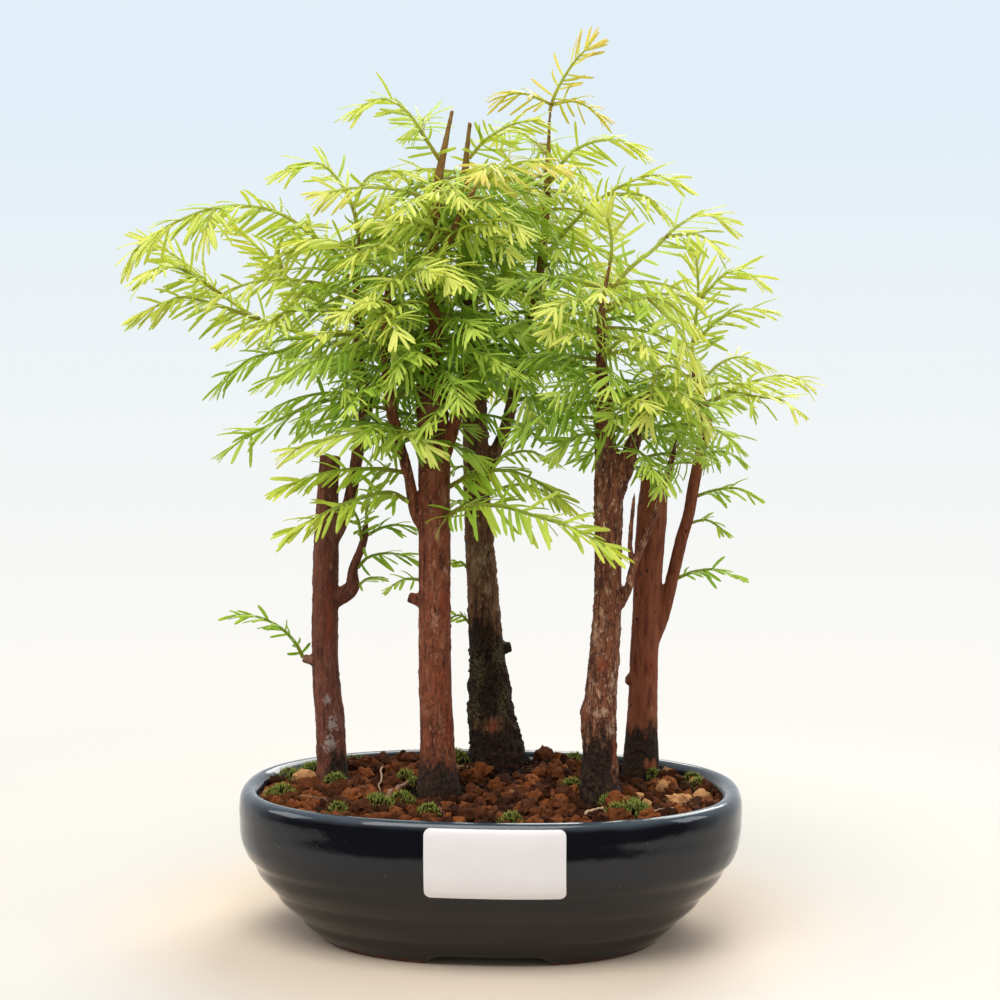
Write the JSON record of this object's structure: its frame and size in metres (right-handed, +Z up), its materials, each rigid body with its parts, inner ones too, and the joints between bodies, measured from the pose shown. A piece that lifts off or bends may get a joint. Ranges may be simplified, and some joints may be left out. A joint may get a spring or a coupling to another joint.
{
  "type": "dawn redwood bonsai forest",
  "caption": "Group of young dawn redwoods with flat needle sprays, standing in granular soil in a low oval glazed bonsai pot.",
  "frame": {"origin": "bottom centre of the whole object's box, on the plane of the pot's feet", "axes": "+X along the pot's length to the right as seen from the front, +Y away from the front, +Z up"},
  "size_m": [0.264, 0.1552, 0.3407],
  "materials": {
    "glaze": "gloss",
    "sticker": "satin",
    "soil": "matte",
    "bark_brown": "matte",
    "bark_dark": "matte",
    "bark_orange": "matte",
    "young_needles": "satin",
    "full_needles": "satin",
    "deep_needles": "satin",
    "golden_needles": "satin"
  },
  "bodies": {
    "root": {"pot": "glaze", "label": "sticker", "soil": "soil", "left_tree": "bark_brown", "centre_tree": "bark_brown", "back_tree": "bark_dark", "front_tree": "bark_brown", "right_tree": "bark_orange", "left_spray_01": "deep_needles", "left_spray_02": "deep_needles", "left_spray_03": "deep_needles", "left_spray_04": "full_needles", "left_spray_05": "full_needles", "left_spray_06": "young_needles", "left_spray_07": "young_needles", "left_spray_08": "young_needles", "left_spray_09": "young_needles", "left_spray_10": "young_needles", "left_spray_11": "young_needles", "left_spray_12": "young_needles", "centre_spray_01": "deep_needles", "centre_spray_02": "deep_needles", "centre_spray_03": "full_needles", "centre_spray_04": "full_needles", "centre_spray_05": "young_needles", "centre_spray_06": "young_needles", "centre_spray_07": "young_needles", "centre_spray_08": "full_needles", "centre_spray_09": "full_needles", "centre_spray_10": "deep_needles", "centre_spray_11": "deep_needles", "centre_spray_12": "young_needles", "centre_spray_13": "young_needles", "centre_spray_14": "young_needles", "centre_spray_15": "young_needles", "centre_spray_16": "full_needles", "back_spray_01": "young_needles", "back_spray_02": "golden_needles", "back_spray_03": "young_needles", "back_spray_04": "young_needles", "back_spray_05": "young_needles", "back_spray_06": "full_needles", "back_spray_07": "young_needles", "back_spray_08": "young_needles", "back_spray_09": "young_needles", "back_spray_10": "young_needles", "back_spray_11": "deep_needles", "back_spray_12": "full_needles", "front_spray_01": "young_needles", "front_spray_02": "young_needles", "front_spray_03": "young_needles", "front_spray_04": "young_needles", "front_spray_05": "young_needles", "front_spray_06": "young_needles", "right_spray_01": "young_needles", "right_spray_02": "young_needles", "right_spray_03": "young_needles", "right_spray_04": "full_needles", "right_spray_05": "deep_needles", "right_spray_06": "young_needles"}
  },
  "joints": []
}
